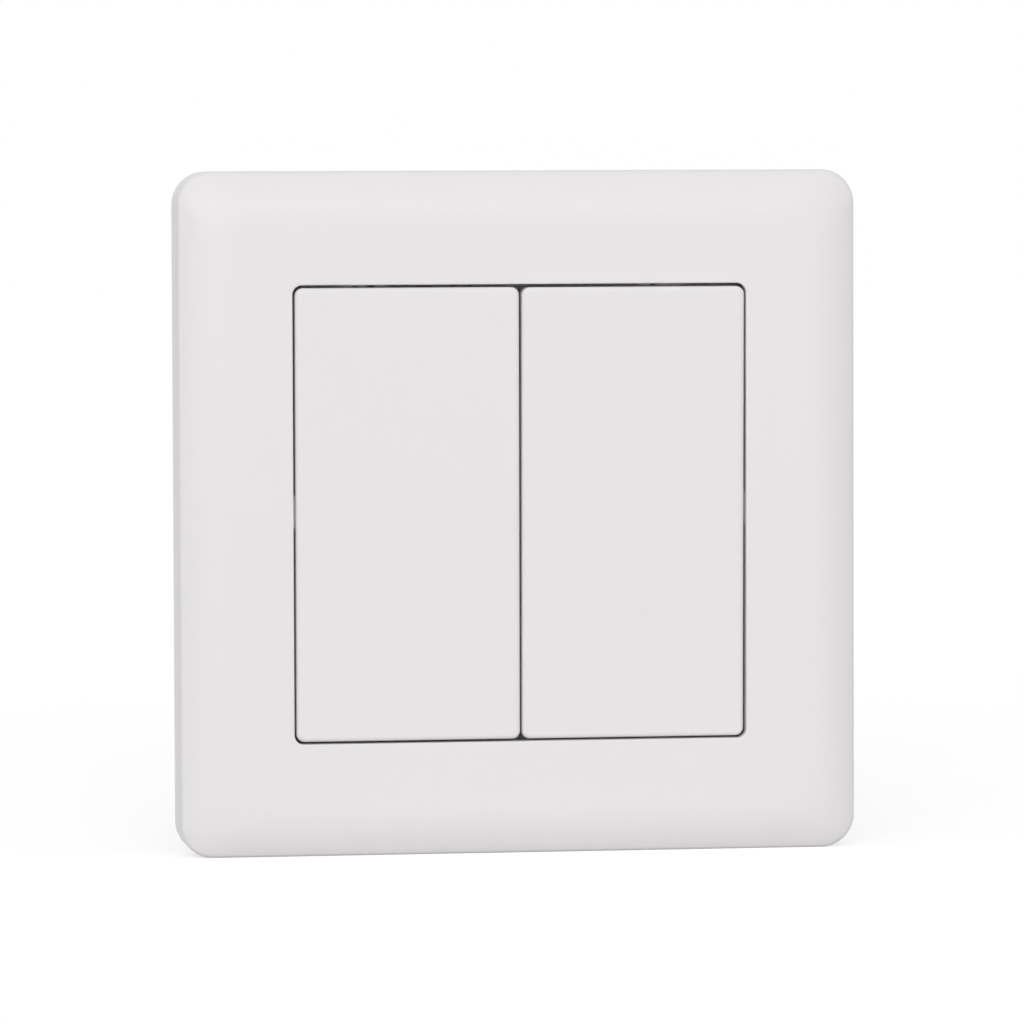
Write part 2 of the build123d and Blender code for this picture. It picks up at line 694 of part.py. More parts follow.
# Countersunk screws through the mounting frame into the body's lugs
with BuildPart() as body_screws:
    for screw_x in corners_x:
        for screw_z in corners_z:
            with BuildSketch(Plane.XZ.offset(mounting_wall)):
                with Locations((screw_x, screw_z)):
                    Circle(body_screw_head_r)
            extrude(amount=body_screw_r - body_screw_head_r, taper=45)
            with BuildSketch(Plane.XZ.offset(mounting_wall)):
                with Locations((screw_x, screw_z)):
                    Circle(body_screw_r)
            extrude(amount=-body_screw_length)
    with BuildSketch(Plane.XZ.offset(mounting_wall)):
        with GridLocations(2 * body_screw_x, 2 * body_screw_z, 2, 2):
            Rectangle(recess_length, recess_width)
            Rectangle(recess_width, recess_length)
    extrude(amount=-recess_depth, mode=Mode.SUBTRACT)
body_screws.part.label = "body_screws"
export_step(body_screws.part, "parts/body_screws.step")
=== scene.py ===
"""Dresses the two-gang bell push: moulded shell and keys, contact unit, screws and springs."""

import json
import logging
import math
from dataclasses import dataclass, field
from enum import Enum
from typing import Any, Iterable, Sequence

import bmesh
import bpy
from mathutils import Matrix, Vector


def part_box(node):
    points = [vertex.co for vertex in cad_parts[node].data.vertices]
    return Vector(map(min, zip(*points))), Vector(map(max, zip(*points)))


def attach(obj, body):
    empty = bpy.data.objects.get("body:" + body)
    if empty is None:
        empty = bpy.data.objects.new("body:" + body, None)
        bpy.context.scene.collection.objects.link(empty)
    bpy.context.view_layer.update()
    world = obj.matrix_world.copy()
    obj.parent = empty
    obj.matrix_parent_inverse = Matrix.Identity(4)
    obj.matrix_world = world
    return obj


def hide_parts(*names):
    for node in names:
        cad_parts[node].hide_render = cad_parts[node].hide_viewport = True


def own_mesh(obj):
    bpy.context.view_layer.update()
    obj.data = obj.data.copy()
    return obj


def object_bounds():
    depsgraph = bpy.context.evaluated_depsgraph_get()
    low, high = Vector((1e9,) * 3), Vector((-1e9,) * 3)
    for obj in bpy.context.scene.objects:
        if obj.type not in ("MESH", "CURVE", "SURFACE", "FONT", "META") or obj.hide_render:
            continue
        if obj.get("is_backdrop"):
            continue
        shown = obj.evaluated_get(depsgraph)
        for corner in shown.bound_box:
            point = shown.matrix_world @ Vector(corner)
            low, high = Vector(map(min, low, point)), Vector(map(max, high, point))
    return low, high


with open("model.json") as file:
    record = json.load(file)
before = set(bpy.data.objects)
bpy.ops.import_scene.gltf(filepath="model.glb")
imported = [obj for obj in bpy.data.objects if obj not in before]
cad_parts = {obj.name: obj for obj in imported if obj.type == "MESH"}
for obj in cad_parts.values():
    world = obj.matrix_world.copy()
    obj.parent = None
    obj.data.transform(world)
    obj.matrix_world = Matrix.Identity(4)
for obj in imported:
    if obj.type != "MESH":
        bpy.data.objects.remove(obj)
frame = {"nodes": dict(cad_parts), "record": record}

MM = 0.001
SEED = 11
WALL = "wall_unit"
WHITE = (1.0, 1.0, 1.0, 1.0)

# How far each key is tilted at rest, in degrees
REST_TILT = {"left": 0.5, "right": 1.3}

# Half the distance between the two tips of a bridge, and the edges' roundings on dressed CAD nodes
TIP_REACH = 5.5 * MM
MOULDED_EDGE = 0.15 * MM
STAMPED_EDGE = 0.06 * MM

# Points nearer than these are one point, and faces that turn by less than this are one face
SAME_POINT = 0.001 * MM
SAME_PLACE = 0.01 * MM
FLAT_ANGLE = math.radians(0.6)

# Edges are rounded past the first angle, and shaded sharp past the others, given in degrees
SHARP_ANGLE = math.radians(32)
SMOOTH_CRISP = 40.0
THREAD_CRISP = 25.0

# How much a face's area counts in the shading: as usual, and on the large moulded forms
USUAL_WEIGHT = 50
FORM_WEIGHT = 80

# Sockets by number on the nodes that repeat a socket's name
MIX_SHARE, MIX_A, MIX_B, MIX_COLOUR = 0, 6, 7, 2
DICE_MIN, DICE_MAX, DICE_FLOAT = 2, 3, 1

log = logging.getLogger("bell_push")
Ring = list[Vector]


class Term:
    """A shader or geometry value that takes part in Python sums."""

    def __init__(self, sheet: "NodeSheet", value: Any) -> None:
        """Keep the sheet of nodes and the socket."""
        self.sheet = sheet
        self.value = value

    def _join(self, operation: str, first: Any, second: Any) -> "Term":
        """Add one Math node to two values or links."""
        return self.sheet.result("ShaderNodeMath", {0: first, 1: second}, operation=operation)

    def __add__(self, other: Any) -> "Term":
        """Sum."""
        return self._join("ADD", self, other)

    def __radd__(self, other: Any) -> "Term":
        """Sum, turned round."""
        return self._join("ADD", other, self)

    def __sub__(self, other: Any) -> "Term":
        """Difference."""
        return self._join("SUBTRACT", self, other)

    def __rsub__(self, other: Any) -> "Term":
        """Difference, turned round."""
        return self._join("SUBTRACT", other, self)

    def __mul__(self, other: Any) -> "Term":
        """Product."""
        return self._join("MULTIPLY", self, other)

    def __rmul__(self, other: Any) -> "Term":
        """Product, turned round."""
        return self._join("MULTIPLY", other, self)

    def __truediv__(self, other: Any) -> "Term":
        """Quotient."""
        return self._join("DIVIDE", self, other)

    def __rtruediv__(self, other: Any) -> "Term":
        """Quotient, turned round."""
        return self._join("DIVIDE", other, self)

    def __neg__(self) -> "Term":
        """Opposite."""
        return self._join("MULTIPLY", self, -1.0)

    def clamped(self) -> "Term":
        """Keep the value from 0 to 1."""
        return self._join("MAXIMUM", self._join("MINIMUM", self, 1.0), 0.0)

    def size(self) -> "Term":
        """Value without its sign."""
        return self._join("ABSOLUTE", self, 0.0)

    def fraction(self) -> "Term":
        """Part behind the decimal point, counted upwards."""
        return self._join("FRACT", self, 0.0)

    def angle_with(self, along: "Term") -> "Term":
        """Angle in radians of the point whose other coordinate is along."""
        return self._join("ARCTAN2", self, along)

    def cosine(self) -> "Term":
        """Cosine of an angle in radians."""
        return self._join("COSINE", self, 0.0)

    def sine(self) -> "Term":
        """Sine of an angle in radians."""
        return self._join("SINE", self, 0.0)


class NodeSheet:
    """A node tree with methods that add and link any node."""

    def __init__(self, tree: bpy.types.NodeTree) -> None:
        """Empty the tree and keep it."""
        self.tree = tree
        tree.nodes.clear()

    def node(self, kind: str, inputs: dict[Any, Any] | None = None, **settings: Any) -> Any:
        """Add a node.

        Args:
            kind: The node's type name.
            inputs: Values or links by socket name or number.
            **settings: Properties, set before its sockets.

        Returns:
            The new node.
        """
        made = self.tree.nodes.new(kind)
        for name, value in settings.items():
            setattr(made, name, value)
        for name, value in (inputs or {}).items():
            if isinstance(value, Term):
                self.tree.links.new(value.value, made.inputs[name])
            else:
                made.inputs[name].default_value = value
        return made

    def result(
        self, kind: str, inputs: dict[Any, Any] | None = None, output: Any = 0, **settings: Any
    ) -> Term:
        """Add a node and take one of its outputs, by name or number, as a Term."""
        return Term(self, self.node(kind, inputs, **settings).outputs[output])


@dataclass(frozen=True)
class Finish:
    """A surface finish, whose material is built once and shared by the pieces that have it."""

    name: str
    colour: tuple[float, float, float]
    roughness: float

    def material(self) -> bpy.types.Material:
        """Find the material, or build it.

        Returns:
            The finished material.
        """
        title = f"{self.name}_finish"
        known = bpy.data.materials.get(title)
        if known:
            return known
        made = bpy.data.materials.new(title)
        made.use_nodes = True
        sheet = NodeSheet(made.node_tree)
        where = sheet.result("ShaderNodeTexCoord", output="Object")
        surface = sheet.result("ShaderNodeBsdfPrincipled", self._surface(sheet, where))
        sheet.node("ShaderNodeOutputMaterial", {0: surface})
        return made

    def _surface(self, sheet: NodeSheet, where: Term) -> dict[str, Any]:
        """What goes into the Principled shader.

        Args:
            sheet: The material's nodes.
            where: The place on the piece.

        Returns:
            Values and links by the names of the shader's inputs.
        """
        raise NotImplementedError

    def _noise(self, sheet: NodeSheet, where: Term, size: float, detail: float = 2.0) -> Term:
        """A noise whose features are about size metres across."""
        return sheet.result("ShaderNodeTexNoise", {"Vector": where, "Scale": 1.0 / size, "Detail": detail})

    def _tone(self, sheet: NodeSheet, share: Term, spread: float) -> Term:
        """The colour, darker by up to spread where share is low."""
        mix = {MIX_SHARE: share, MIX_A: self._dimmed(spread), MIX_B: self._dimmed(0.0)}
        return sheet.result("ShaderNodeMix", mix, MIX_COLOUR, data_type="RGBA")

    def _dimmed(self, spread: float) -> tuple[float, ...]:
        """The colour, darker by spread."""
        return (*[channel * (1.0 - spread) for channel in self.colour], 1.0)

    def _bump(self, sheet: NodeSheet, height: Term) -> Term:
        """The normal of a surface raised by height metres."""
        return sheet.result("ShaderNodeBump", {"Height": height, "Strength": 1.0, "Distance": 1.0})


@dataclass(frozen=True)
class MouldedPlastic(Finish):
    """Satin or matt injection-moulded plastic with a faint orange peel."""

    specular: float = 0.5
    tone_spread: float = 0.012
    flow_size: float = 9.0 * MM
    flow_detail: float = 3.0
    flow_gloss: float = 0.04
    peel_size: float = 1.4 * MM
    peel_detail: float = 1.0
    peel_depth: float = 0.0012 * MM
    grain_size: float = 0.12 * MM
    grain_gloss: float = 0.03
    grain_depth: float = 0.0004 * MM

    def _surface(self, sheet: NodeSheet, where: Term) -> dict[str, Any]:
        """Colour and gloss that drift with the melt's flow, over peel and grain.

        Args:
            sheet: The material's nodes.
            where: The place on the piece.

        Returns:
            Values and links by the names of the shader's inputs.
        """
        flow = self._noise(sheet, where, self.flow_size, self.flow_detail)
        peel = self._noise(sheet, where, self.peel_size, self.peel_detail)
        grain = self._noise(sheet, where, self.grain_size)
        level = self.roughness - (self.flow_gloss + self.grain_gloss) / 2
        return {
            "Base Color": self._tone(sheet, flow, self.tone_spread),
            "Roughness": flow * self.flow_gloss + grain * self.grain_gloss + level,
            "Normal": self._bump(sheet, peel * self.peel_depth + grain * self.grain_depth),
            "Specular IOR Level": self.specular,
        }


class Lay(Enum):
    """Which way the marks of working run on a metal piece."""

    ALONG_Y = (1.0, 0.12, 1.0)
    ALONG_Z = (1.0, 1.0, 0.12)


@dataclass(frozen=True)
class WorkedMetal(Finish):
    """Stamped, drawn or plated metal with fine marks of working."""

    lay: Lay = Lay.ALONG_Z
    mark_size: float = 0.25 * MM
    mark_detail: float = 3.0
    mark_gloss: float = 0.12
    mark_depth: float = 0.0006 * MM
    cloud_size: float = 3.0 * MM
    cloud_gloss: float = 0.08
    tarnish: float = 0.12

    def _surface(self, sheet: NodeSheet, where: Term) -> dict[str, Any]:
        """Marks drawn out along the lay, under clouds of tarnish.

        Args:
            sheet: The material's nodes.
            where: The place on the piece.

        Returns:
            Values and links by the names of the shader's inputs.
        """
        along = sheet.result("ShaderNodeMapping", {"Vector": where, "Scale": self.lay.value})
        marks = self._noise(sheet, along, self.mark_size, self.mark_detail)
        cloud = self._noise(sheet, where, self.cloud_size)
        level = self.roughness - (self.mark_gloss + self.cloud_gloss) / 2
        return {
            "Base Color": self._tone(sheet, cloud, self.tarnish),
            "Metallic": 1.0,
            "Roughness": marks * self.mark_gloss + cloud * self.cloud_gloss + level,
            "Normal": self._bump(sheet, marks * self.mark_depth),
        }


SHELL = MouldedPlastic("shell_white", (0.896, 0.874, 0.885), roughness=0.29, specular=0.16)
CARRIER = MouldedPlastic("carrier_white", (0.780, 0.780, 0.760), roughness=0.48, grain_depth=0.0012 * MM)
BODY = MouldedPlastic("body_grey", (0.540, 0.550, 0.550), roughness=0.50, grain_depth=0.0016 * MM)
PLUNGER = MouldedPlastic("plunger_black", (0.040, 0.040, 0.044), roughness=0.38)
BRASS = WorkedMetal("contact_brass", (0.780, 0.560, 0.250), roughness=0.26)
SILVER = WorkedMetal("contact_silver", (0.880, 0.870, 0.840), roughness=0.20, tarnish=0.18)
SPRING = WorkedMetal("spring_steel", (0.520, 0.520, 0.530), roughness=0.25, lay=Lay.ALONG_Y)
ZINC = WorkedMetal("screw_zinc", (0.520, 0.525, 0.515), roughness=0.42, lay=Lay.ALONG_Y)


def add_object(name: str, data: Any) -> bpy.types.Object:
    """Put a mesh, a lamp or a camera in the scene.

    Args:
        name: The object's name.
        data: What it shows.

    Returns:
        The new object.
    """
    made = bpy.data.objects.new(name, data)
    bpy.context.scene.collection.objects.link(made)
    return made


def link_piece(name: str, data: bpy.types.Mesh, finish: Finish) -> bpy.types.Object:
    """Put a mesh in the scene as a smooth-shaded piece.

    Args:
        name: The piece's name.
        data: Its mesh, already in place.
        finish: Its finish.

    Returns:
        The new object.
    """
    data.materials.clear()
    data.materials.append(finish.material())
    data.shade_smooth()
    return add_object(name, data)


def run_modifiers(piece: bpy.types.Object) -> None:
    """Replace a piece's mesh with what its modifiers make of it, and remove them.

    Args:
        piece: The piece.
    """
    bpy.context.view_layer.update()
    seen = piece.evaluated_get(bpy.context.evaluated_depsgraph_get())
    done = bpy.data.meshes.new_from_object(seen)
    piece.modifiers.clear()
    piece.data = done


def even_shading(piece: bpy.types.Object, weight: int = USUAL_WEIGHT) -> None:
    """Let the larger faces lead the shading, and run all the piece's modifiers.

    Args:
        piece: The piece.
        weight: How much a face's area counts.
    """
    even = piece.modifiers.new("shading", "WEIGHTED_NORMAL")
    even.weight = weight
    even.keep_sharp = True
    run_modifiers(piece)


def soften_edges(piece: bpy.types.Object, width: float, segments: int = 2) -> None:
    """Round a piece's sharp edges a little and even out its shading.

    Args:
        piece: The piece.
        width: The rounding's width.
        segments: Steps across it.
    """
    bevel = piece.modifiers.new("edge", "BEVEL")
    bevel.width = width
    bevel.segments = segments
    bevel.limit_method = "ANGLE"
    bevel.angle_limit = SHARP_ANGLE
    bevel.use_clamp_overlap = True
    even_shading(piece)


def settle(piece: bpy.types.Object, body: str, finish: Finish, *nodes: str) -> None:
    """Hang a piece on its body and let it stand for its CAD nodes.

    Args:
        piece: The finished piece.
        body: The body it rides on.
        finish: Its finish, named like the record's slot; not used.
        *nodes: The CAD nodes it stands for.
    """
    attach(piece, body)
    if nodes:
        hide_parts(*nodes)
    log.info("%s: %d faces on %s", piece.name, len(piece.data.polygons), body)


def dress_node(node: str, body: str, finish: Finish, edge: float) -> None:
    """Make a finer copy of a CAD node: whole faces, softened edges and its finish.

    Args:
        node: The CAD node.
        body: The body it rides on.
        finish: Its finish.
        edge: The width of its edges' rounding.
    """
    solid = bmesh.new()
    solid.from_mesh(frame["nodes"][node].data)
    bmesh.ops.remove_doubles(solid, verts=solid.verts, dist=SAME_POINT)
    bmesh.ops.dissolve_limit(solid, angle_limit=FLAT_ANGLE, verts=solid.verts, edges=solid.edges)
    data = bpy.data.meshes.new(f"{node}_dressed")
    solid.to_mesh(data)
    solid.free()
    piece = link_piece(f"{node}_dressed", data, finish)
    soften_edges(piece, edge)
    settle(piece, body, finish, node)


def node_box(node: str) -> tuple[Vector, Vector, Vector]:
    """Lowest corner, highest corner and middle of a CAD node."""
    low, high = (Vector(corner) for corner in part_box(node))
    return low, high, (low + high) / 2


def slide_travel(joint: str) -> float:
    """How far a sliding joint goes.

    Args:
        joint: The joint's name.

    Returns:
        Its travel in metres.
    """
    for known in frame["record"]["behaviour"]["joints"]:
        if known["name"] == joint:
            return known["range_m"][1] - known["range_m"][0]
    raise KeyError(joint)


def arc(start: float, end: float, steps: int) -> list[float]:
    """Angles in even steps from start to end, both counted in."""
    return [start + (end - start) * step / steps for step in range(steps + 1)]


@dataclass(frozen=True)
class Section:
    """One closed ring of a moulded form: a rounded oblong at one distance out."""

    half_x: float
    half_z: float
    corner: float
    out: float

    @classmethod
    def square(cls, half: float, corner: float, out: float) -> "Section":
        """A ring with four equal sides."""
        return cls(half, half, corner, out)

    def points(self, corner_steps: int) -> Ring:
        """Points round the oblong.

        Args:
            corner_steps: Pieces in each corner's quarter turn.

        Returns:
            The points in order, as (x, -out, z).
        """
        points = []
        for quarter, (side_x, side_z) in enumerate(((1, 1), (-1, 1), (-1, -1), (1, -1))):
            centre_x = side_x * (self.half_x - self.corner)
            centre_z = side_z * (self.half_z - self.corner)
            for step in range(corner_steps + 1):
                turn = math.pi / 2 * (quarter + step / corner_steps)
                x = centre_x + self.corner * math.cos(turn)
                z = centre_z + self.corner * math.sin(turn)
                points.append(Vector((x, -self.out, z)))
        return points


@dataclass
class Moulding:
    """Collects closed forms in one mesh and turns it into a piece."""

    name: str
    mesh: bmesh.types.BMesh = field(default_factory=bmesh.new)

    def add_shell(self, sections: Sequence[Section], corner_steps: int, closed: bool) -> None:
        """Add a form skinned over its rings.

        Args:
            sections: The rings in order round the form's profile.
            corner_steps: Pieces in each corner.
            closed: True where the last ring meets the first, and False where both ends are capped.
        """
        rings = [[self.mesh.verts.new(p) for p in s.points(corner_steps)] for s in sections]
        count = len(rings[0])
        pairs = list(zip(rings, rings[1:]))
        if closed:
            pairs.append((rings[-1], rings[0]))
        else:
            self.mesh.faces.new(rings[0])
            self.mesh.faces.new(list(reversed(rings[-1])))
        for near, far in pairs:
            for i in range(count):
                j = (i + 1) % count
                self.mesh.faces.new((near[i], far[i], far[j], near[j]))

    def add_prism(self, outline: Iterable[tuple[float, float]], low_x: float, high_x: float) -> None:
        """Add a bar of constant section along X.

        Args:
            outline: The section's corners, as (out, z).
            low_x: Where it starts.
            high_x: Where it ends.
        """
        corners = list(outline)
        ends = [[self.mesh.verts.new((x, -out, z)) for out, z in corners] for x in (low_x, high_x)]
        self.mesh.faces.new(ends[0])
        self.mesh.faces.new(list(reversed(ends[1])))
        for i in range(len(corners)):
            j = (i + 1) % len(corners)
            self.mesh.faces.new((ends[0][i], ends[1][i], ends[1][j], ends[0][j]))

    def add_block(self, low: Sequence[float], high: Sequence[float]) -> None:
        """Add a rectangular rib from corner to corner, given as (x, out, z)."""
        corners = ((low[1], low[2]), (high[1], low[2]), (high[1], high[2]), (low[1], high[2]))
        self.add_prism(corners, low[0], high[0])

    def finish(self, finish: MouldedPlastic, place: Matrix | None = None) -> bpy.types.Object:
        """Turn the collected forms into an object at the origin.

        Args:
            finish: The plastic it is moulded in.
            place: Where its mesh goes, if it isn't made in place.

        Returns:
            The new piece.
        """
        bmesh.ops.recalc_face_normals(self.mesh, faces=self.mesh.faces)
        if place is not None:
            self.mesh.transform(place)
        data = bpy.data.meshes.new(self.name)
        self.mesh.to_mesh(data)
        self.mesh.free()
        return link_piece(self.name, data, finish)


@dataclass(frozen=True)
class Hook:
    """A moulded snap hook that stands in four places, its barbs turned away from the middle."""

    x: float
    z: float
    width: float
    wall: float
    barb: float
    barb_height: float
    slope_share: float

    def add_to(self, form: Moulding, root: float, tip: float) -> None:
        """Add the four hooks to a form.

        Args:
            form: The form that carries them.
            root: How far out of the wall they start.
            tip: How far out of the wall they end.
        """
        face = self.z + self.wall
        seat = tip + self.barb_height
        slope = tip + self.barb_height * self.slope_share
        outline = (
            (root, self.z),
            (tip, self.z),
            (tip, face),
            (slope, face + self.barb),
            (seat, face + self.barb),
            (seat, face),
            (root, face),
        )
        for way in (-1, 1):
            turned = [(out, way * z) for out, z in outline]
            for across in (-self.x, self.x):
                form.add_prism(turned, across - self.width / 2, across + self.width / 2)


@dataclass
class FaceFrame:
    """The crowned square frame, with its collar, resting ribs and snap hooks."""

    corner: float = 4.2 * MM
    corner_steps: int = 16
    crown_width: float = 6.0 * MM
    crown_drop: float = 2.0 * MM
    crown_steps: int = 14
    edge: float = 0.9 * MM
    edge_steps: int = 8
    edge_guard: float = 0.3 * MM
    front_rings: tuple[float, ...] = (0.3 * MM, 2.5 * MM, 5.0 * MM)
    wall: float = 2.0 * MM
    opening: float = 57.5 * MM
    opening_corner: float = 1.2 * MM
    opening_edge: float = 0.2 * MM
    opening_steps: int = 4
    opening_guard: float = 0.25 * MM
    opening_border: float = 2.0 * MM
    collar_wall: float = 1.4 * MM
    collar_depth: float = 3.4 * MM
    collar_rim_corner: float = 2.4 * MM
    foot_steps: int = 6
    rim_edge: float = 0.12 * MM
    rib_x: float = 12.0 * MM
    rib_wall: float = 1.2 * MM
    rib_reach: float = 3.0 * MM
    rib_root: float = 0.4 * MM
    carrier_wall: float = 2.2 * MM
    hook: Hook = Hook(24.0 * MM, 37.4 * MM, 7.0 * MM, 1.3 * MM, 0.6 * MM, 0.8 * MM, 1 / 2)
    hook_root: float = 0.3 * MM
    tip_gap: float = 0.3 * MM
    notch_width: float = 9.0 * MM
    notch_depth: float = 1.0 * MM
    notch_clear: float = 1.0 * MM
    notch_reach: float = 3.0 * MM

    def profile(self, half: float, out: float) -> list[Section]:
        """Rings from the rear rim over the front and round to the back of the cavity.

        Args:
            half: Half the plate's side.
            out: How far its front stands out of the wall.

        Returns:
            The rings in order.
        """
        square = Section.square
        crown_r = (self.crown_width**2 + self.crown_drop**2) / (2 * self.crown_drop)
        middle = half - self.crown_width
        lean = half - self.edge - middle
        meet = math.acos(lean / (crown_r - self.edge))
        edge_out = out - crown_r + (crown_r - self.edge) * math.sin(meet)
        rings = [
            square(half - self.rim_edge, self.corner - self.rim_edge, 0.0),
            square(half, self.corner, self.rim_edge),
            square(half, self.corner, edge_out - self.edge_guard),
        ]
        for turn in arc(0.0, meet, self.edge_steps):
            side = half - self.edge + self.edge * math.cos(turn)
            rings.append(square(side, self.corner, edge_out + self.edge * math.sin(turn)))
        for turn in arc(meet, math.pi / 2, self.crown_steps)[1:]:
            side = middle + crown_r * math.cos(turn)
            rings.append(square(side, self.corner, out - crown_r + crown_r * math.sin(turn)))
        for inward in self.front_rings:
            rings.append(square(middle - inward, self.corner, out))
        gap = self.opening / 2
        for outward in (self.opening_border, self.opening_edge + self.opening_guard):
            rings.append(square(gap + outward, self.opening_corner + outward, out))
        for turn in arc(0.0, math.pi / 2, self.opening_steps):
            side = gap + self.opening_edge * (1 - math.sin(turn))
            corner = self.opening_corner + side - gap
            rings.append(square(side, corner, out - self.opening_edge * (1 - math.cos(turn))))
        return rings + self._hidden_profile(half, out, crown_r)

    def _hidden_profile(self, half: float, out: float, crown_r: float) -> list[Section]:
        """Rings down the opening, round the collar and along the underside of the shell.

        Args:
            half: Half the plate's side.
            out: How far its front stands out of the wall.
            crown_r: The crown's radius.

        Returns:
            The rings in order.
        """
        square = Section.square
        gap = self.opening / 2
        collar = gap + self.collar_wall
        collar_corner = self.opening_corner + self.collar_wall
        collar_out = out - self.collar_depth
        under = out - self.wall
        inner = half - self.wall
        inner_corner = self.corner - self.wall
        rings = [
            square(gap, self.opening_corner, out - self.opening_edge - self.opening_guard),
            square(gap, self.opening_corner, collar_out + self.rim_edge),
            square(gap + self.rim_edge, self.opening_corner + self.rim_edge, collar_out),
            square(collar - self.rim_edge, self.collar_rim_corner, collar_out),
            square(collar, collar_corner, collar_out + self.rim_edge),
            square(collar, collar_corner, under),
        ]
        for turn in arc(0.0, math.asin(self.crown_width / crown_r), self.foot_steps):
            side = inner - self.crown_width + crown_r * math.sin(turn)
            rings.append(square(side, inner_corner, under - crown_r * (1 - math.cos(turn))))
        rings.append(square(inner, inner_corner, self.rim_edge))
        rings.append(square(inner + self.rim_edge, inner_corner + self.rim_edge, 0.0))
        return rings

    def build(self) -> None:
        """Build the frame and let it stand for its CAD node."""
        low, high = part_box("face_frame")
        half, out = high.x, -low.y
        form = Moulding("face_frame_shell")
        form.add_shell(self.profile(half, out), self.corner_steps, closed=True)
        self._add_ribs(form, half, out)
        self.hook.add_to(form, out - self.wall + self.hook_root, self.tip_gap)
        piece = form.finish(SHELL)
        self._cut_notch(piece, half)
        even_shading(piece, FORM_WEIGHT)
        settle(piece, WALL, SHELL, "face_frame")

    def _add_ribs(self, form: Moulding, half: float, out: float) -> None:
        """Add the ribs that rest on the carrier, two on each side.

        Args:
            form: The frame's form.
            half: Half the plate's side.
            out: How far its front stands out of the wall.
        """
        inner = half - self.wall
        deep = out - self.wall - self.crown_drop + self.rib_root
        start = inner - self.rib_reach
        stop = inner + self.rib_root
        for across in (-self.rib_x, self.rib_x):
            near, far = across - self.rib_wall / 2, across + self.rib_wall / 2
            for way in (-1, 1):
                a, b = sorted((way * start, way * stop))
                form.add_block((a, self.carrier_wall, near), (b, deep, far))
                form.add_block((near, self.carrier_wall, a), (far, deep, b))

    def _cut_notch(self, piece: bpy.types.Object, half: float) -> None:
        """Cut the notch for the lever's blade into the lower rim's back edge.

        Args:
            piece: The frame.
            half: Half the plate's side.
        """
        blade = Moulding("notch_blade")
        low = (-self.notch_width / 2, -self.notch_clear, -half - self.notch_reach)
        high = (self.notch_width / 2, self.notch_depth, -half + self.notch_reach)
        blade.add_block(low, high)
        cutter = blade.finish(SHELL)
        cut = piece.modifiers.new("notch", "BOOLEAN")
        cut.operation = "DIFFERENCE"
        cut.solver = "EXACT"
        cut.object = cutter
        run_modifiers(piece)
        bpy.data.objects.remove(cutter)


@dataclass
class Key:
    """One tall key: flat face, skirt, stiffening ribs and hooks."""

    side: str
    rest_tilt: float
    width: float = 28.3 * MM
    height: float = 56.86 * MM
    centre_x: float = 14.3 * MM
    pivot_out: float = 5.0 * MM
    front: float = 4.0 * MM
    wall: float = 1.6 * MM
    depth: float = 3.4 * MM
    skirt: float = 1.2 * MM
    corner: float = 1.0 * MM
    corner_steps: int = 12
    inner_corner: float = 0.2 * MM
    edge: float = 0.55 * MM
    edge_steps: int = 7
    edge_guard: float = 0.2 * MM
    face_ring: float = 3.0 * MM
    rim_edge: float = 0.1 * MM
    rib_wall: float = 0.8 * MM
    rib_height: float = 1.1 * MM
    rib_root: float = 0.2 * MM
    rib_x: float = 10.6 * MM
    rib_z: float = 24.0 * MM
    rocker_wall: float = 1.4 * MM
    hook: Hook = Hook(3.6 * MM, 11.0 * MM, 3.0 * MM, 1.0 * MM, 0.5 * MM, 0.7 * MM, 2 / 3)

    def place(self) -> Matrix:
        """Where the key's own frame stands.

        Returns:
            A shift to the trunnions' line and a tilt to the key's rest.
        """
        way = -1 if self.side == "left" else 1
        shift = Matrix.Translation((way * self.centre_x, -self.pivot_out, 0.0))
        return shift @ Matrix.Rotation(math.radians(self.rest_tilt), 4, "X")

    def _ring(self, inset: float, corner: float, out: float) -> Section:
        """One ring of the key, inset from its sides."""
        return Section(self.width / 2 - inset, self.height / 2 - inset, corner, out)

    def profile(self) -> list[Section]:
        """Rings from the middle of the face over the edge and skirt to the underside.

        Returns:
            The rings in order.
        """
        face_corner = self.corner - self.edge + self.edge_guard
        rings = []
        for inward in (self.face_ring, self.edge_guard):
            rings.append(self._ring(self.edge + inward, face_corner, self.front))
        for turn in arc(0.0, math.pi / 2, self.edge_steps):
            inset = self.edge * (1 - math.sin(turn))
            out = self.front - self.edge * (1 - math.cos(turn))
            rings.append(self._ring(inset, self.corner - inset, out))
        low = self.front - self.depth
        rings += [
            self._ring(0.0, self.corner, self.front - self.edge - self.edge_guard),
            self._ring(0.0, self.corner, low + self.rim_edge),
            self._ring(self.rim_edge, self.corner - self.rim_edge, low),
            self._ring(self.skirt - self.rim_edge, self.inner_corner + self.rim_edge, low),
            self._ring(self.skirt, self.inner_corner, low + self.rim_edge),
            self._ring(self.skirt, self.inner_corner, self.front - self.wall),
        ]
        return rings

    def build(self) -> None:
        """Build the key and let it stand for its CAD node."""
        form = Moulding(f"{self.side}_key_cap")
        form.add_shell(self.profile(), self.corner_steps, closed=False)
        under = self.front - self.wall
        low, root = under - self.rib_height, under + self.rib_root
        reach_x = self.width / 2 - self.skirt + self.rib_root
        reach_z = self.height / 2 - self.skirt + self.rib_root
        half = self.rib_wall / 2
        for x, z in ((-self.rib_x, -self.rib_z), (self.rib_x, self.rib_z)):
            form.add_block((-reach_x, low, z - half), (reach_x, root, z + half))
            form.add_block((x - half, low, -reach_z), (x + half, root, reach_z))
        self.hook.add_to(form, root, under - self.rocker_wall - self.hook.barb_height)
        piece = form.finish(SHELL, self.place())
        even_shading(piece, FORM_WEIGHT)
        settle(piece, f"{self.side}_key_body", SHELL, f"{self.side}_key")


